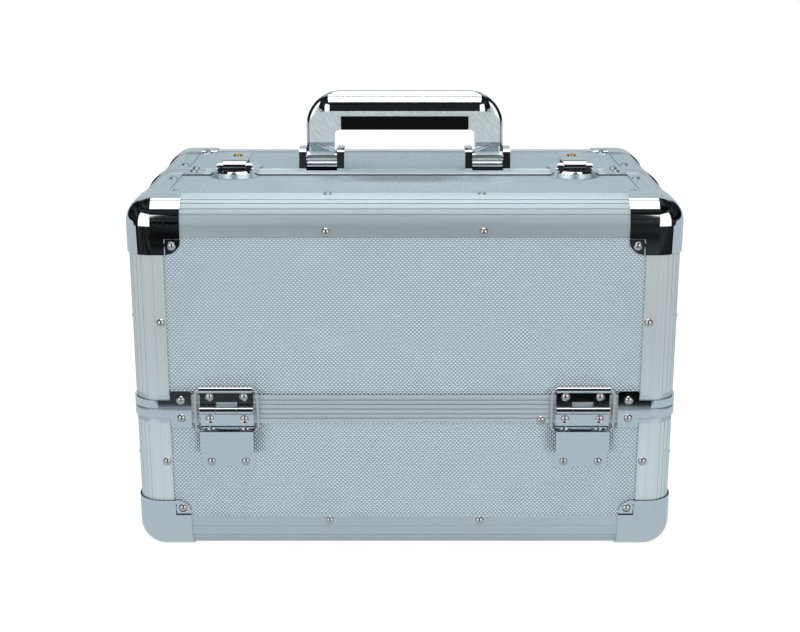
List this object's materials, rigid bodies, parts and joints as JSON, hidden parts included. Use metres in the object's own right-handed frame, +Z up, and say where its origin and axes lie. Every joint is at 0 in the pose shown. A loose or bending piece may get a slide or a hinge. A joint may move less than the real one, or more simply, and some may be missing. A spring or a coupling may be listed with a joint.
{
  "type": "makeup train case",
  "caption": "Hard-sided makeup train case with ribbed metal frame, swing-out half lids on stay hinges, cantilever trays, key latches and a folding carry handle",
  "frame": {"origin": "middle of the case's outline on the floor, under the feet", "axes": "+X to the right along the width, +Y to the back, +Z up; the front with the stay hinges faces -Y"},
  "size_m": [0.3674, 0.2342, 0.304],
  "materials": {
    "panel_silver": "fine raised diamond emboss, satin silver",
    "frame_aluminium": "satin anodised with fine lengthwise grooves",
    "chrome_fittings": "bright chrome plate on steel",
    "bright_steel": "nickel-plated sheet steel",
    "rivet_steel": "polished domed heads",
    "liner_black": "matt black lining",
    "tray_plastic": "fine-grained black",
    "grip_black": "smooth soft black",
    "rubber_black": "matt black",
    "brass_key": "polished"
  },
  "bodies": {
    "box": {"base_floor_panel": "panel_silver", "base_wall_panels": "panel_silver", "base_bottom_rails": "frame_aluminium", "base_posts": "frame_aluminium", "base_rim": "frame_aluminium", "base_liner": "liner_black", "base_corner_caps": "chrome_fittings", "base_brackets": "bright_steel", "base_rivets": "rivet_steel", "base_pop_rivet": "rivet_steel", "feet": "rubber_black", "stay_tongues": "bright_steel", "hinge_pins": "bright_steel", "base_pivot_studs": "bright_steel"},
    "front_lid": {"front_wall_panels": "panel_silver", "front_top_panel": "panel_silver", "front_top_rails": "frame_aluminium", "front_posts": "frame_aluminium", "front_rim": "frame_aluminium", "front_seam_rim": "frame_aluminium", "front_liner": "liner_black", "front_corner_caps": "chrome_fittings", "front_brackets": "bright_steel", "front_rivets": "rivet_steel", "front_hinge_leaves": "bright_steel", "latch_plates": "chrome_fittings", "latch_axles": "bright_steel"},
    "rear_lid": {"rear_wall_panels": "panel_silver", "rear_top_panel": "panel_silver", "rear_top_rails": "frame_aluminium", "rear_posts": "frame_aluminium", "rear_rim": "frame_aluminium", "rear_seam_rim": "frame_aluminium", "rear_liner": "liner_black", "rear_corner_caps": "chrome_fittings", "rear_brackets": "bright_steel", "rear_rivets": "rivet_steel", "rear_hinge_leaves": "bright_steel", "latch_locks": "chrome_fittings", "handle_brackets": "chrome_fittings", "handle_pins": "bright_steel"},
    "handle": {"handle_arch": "chrome_fittings", "handle_grip": "grip_black"},
    "hasp_left": {"latch_hasp_left": "chrome_fittings"},
    "hasp_right": {"latch_hasp_right": "chrome_fittings"},
    "key_left": {"key_cylinder_left": "brass_key"},
    "key_right": {"key_cylinder_right": "brass_key"},
    "stay_front_left": {"stay_loop_front_left": "bright_steel"},
    "stay_front_right": {"stay_loop_front_right": "bright_steel"},
    "front_lead_arm": {"front_lead_arms": "bright_steel"},
    "front_trail_arm": {"front_trail_arms": "bright_steel"},
    "front_lower": {"front_lower_tray": "tray_plastic"},
    "front_upper": {"front_upper_tray": "tray_plastic"},
    "stay_rear_left": {"stay_loop_rear_left": "bright_steel"},
    "stay_rear_right": {"stay_loop_rear_right": "bright_steel"},
    "rear_lead_arm": {"rear_lead_arms": "bright_steel"},
    "rear_trail_arm": {"rear_trail_arms": "bright_steel"},
    "rear_lower": {"rear_lower_tray": "tray_plastic"},
    "rear_upper": {"rear_upper_tray": "tray_plastic"}
  },
  "joints": [
    {"name": "front_lid_swing", "type": "hinge", "parent": "box", "child": "front_lid", "pos_m": [0, -0.1135, 0.1065], "axis": [1, 0, 0], "range_deg": [0, 95]},
    {"name": "rear_lid_swing", "type": "hinge", "parent": "box", "child": "rear_lid", "pos_m": [0, 0.1135, 0.1065], "axis": [-1, 0, 0], "range_deg": [0, 95]},
    {"name": "handle_fold", "type": "hinge", "parent": "rear_lid", "child": "handle", "pos_m": [0, 0.007, 0.256], "axis": [-1, 0, 0], "range_deg": [-65, 65]},
    {"name": "hasp_left_lift", "type": "hinge", "parent": "front_lid", "child": "hasp_left", "pos_m": [-0.1195, -0.014, 0.253], "axis": [1, 0, 0], "range_deg": [0, 95]},
    {"name": "key_left_turn", "type": "hinge", "parent": "rear_lid", "child": "key_left", "pos_m": [-0.1195, 0.007, 0.257], "axis": [0, 0, 1], "range_deg": [0, 90]},
    {"name": "hasp_right_lift", "type": "hinge", "parent": "front_lid", "child": "hasp_right", "pos_m": [0.1195, -0.014, 0.253], "axis": [1, 0, 0], "range_deg": [0, 95]},
    {"name": "key_right_turn", "type": "hinge", "parent": "rear_lid", "child": "key_right", "pos_m": [0.1195, 0.007, 0.257], "axis": [0, 0, -1], "range_deg": [0, 90]},
    {"name": "stay_front_left_swing", "type": "hinge", "parent": "front_lid", "child": "stay_front_left", "pos_m": [-0.1185, -0.1135, 0.121], "axis": [1, 0, 0], "range_deg": [-65.1, 0]},
    {"name": "stay_front_right_swing", "type": "hinge", "parent": "front_lid", "child": "stay_front_right", "pos_m": [0.1185, -0.1135, 0.121], "axis": [1, 0, 0], "range_deg": [-65.1, 0]},
    {"name": "front_lead_arm_swing", "type": "hinge", "parent": "box", "child": "front_lead_arm", "pos_m": [0, -0.0845, 0.092], "axis": [1, 0, 0], "range_deg": [0, 63]},
    {"name": "front_trail_arm_swing", "type": "hinge", "parent": "box", "child": "front_trail_arm", "pos_m": [0, -0.05996, 0.092], "axis": [1, 0, 0], "range_deg": [0, 63]},
    {"name": "front_lower_tray_level", "type": "hinge", "parent": "front_lead_arm", "child": "front_lower", "pos_m": [0, -0.06567, 0.121], "axis": [1, 0, 0], "range_deg": [-63, 0]},
    {"name": "front_upper_tray_level", "type": "hinge", "parent": "front_lead_arm", "child": "front_upper", "pos_m": [0, -0.03904, 0.162], "axis": [1, 0, 0], "range_deg": [-63, 0]},
    {"name": "stay_rear_left_swing", "type": "hinge", "parent": "rear_lid", "child": "stay_rear_left", "pos_m": [-0.1185, 0.1135, 0.121], "axis": [-1, 0, 0], "range_deg": [-65.1, 0]},
    {"name": "stay_rear_right_swing", "type": "hinge", "parent": "rear_lid", "child": "stay_rear_right", "pos_m": [0.1185, 0.1135, 0.121], "axis": [-1, 0, 0], "range_deg": [-65.1, 0]},
    {"name": "rear_lead_arm_swing", "type": "hinge", "parent": "box", "child": "rear_lead_arm", "pos_m": [0, 0.0845, 0.092], "axis": [-1, 0, 0], "range_deg": [0, 63]},
    {"name": "rear_trail_arm_swing", "type": "hinge", "parent": "box", "child": "rear_trail_arm", "pos_m": [0, 0.05996, 0.092], "axis": [-1, 0, 0], "range_deg": [0, 63]},
    {"name": "rear_lower_tray_level", "type": "hinge", "parent": "rear_lead_arm", "child": "rear_lower", "pos_m": [0, 0.06567, 0.121], "axis": [-1, 0, 0], "range_deg": [-63, 0]},
    {"name": "rear_upper_tray_level", "type": "hinge", "parent": "rear_lead_arm", "child": "rear_upper", "pos_m": [0, 0.03904, 0.162], "axis": [-1, 0, 0], "range_deg": [-63, 0]}
  ],
  "couplings": [
    {"joint": "stay_front_left_swing", "follows": "front_lid_swing", "ratio": -0.685},
    {"joint": "stay_front_right_swing", "follows": "front_lid_swing", "ratio": -0.685},
    {"joint": "front_lead_arm_swing", "follows": "front_lid_swing", "ratio": 0.663},
    {"joint": "front_trail_arm_swing", "follows": "front_lid_swing", "ratio": 0.663},
    {"joint": "front_lower_tray_level", "follows": "front_lid_swing", "ratio": -0.663},
    {"joint": "front_upper_tray_level", "follows": "front_lid_swing", "ratio": -0.663},
    {"joint": "stay_rear_left_swing", "follows": "rear_lid_swing", "ratio": -0.685},
    {"joint": "stay_rear_right_swing", "follows": "rear_lid_swing", "ratio": -0.685},
    {"joint": "rear_lead_arm_swing", "follows": "rear_lid_swing", "ratio": 0.663},
    {"joint": "rear_trail_arm_swing", "follows": "rear_lid_swing", "ratio": 0.663},
    {"joint": "rear_lower_tray_level", "follows": "rear_lid_swing", "ratio": -0.663},
    {"joint": "rear_upper_tray_level", "follows": "rear_lid_swing", "ratio": -0.663}
  ]
}
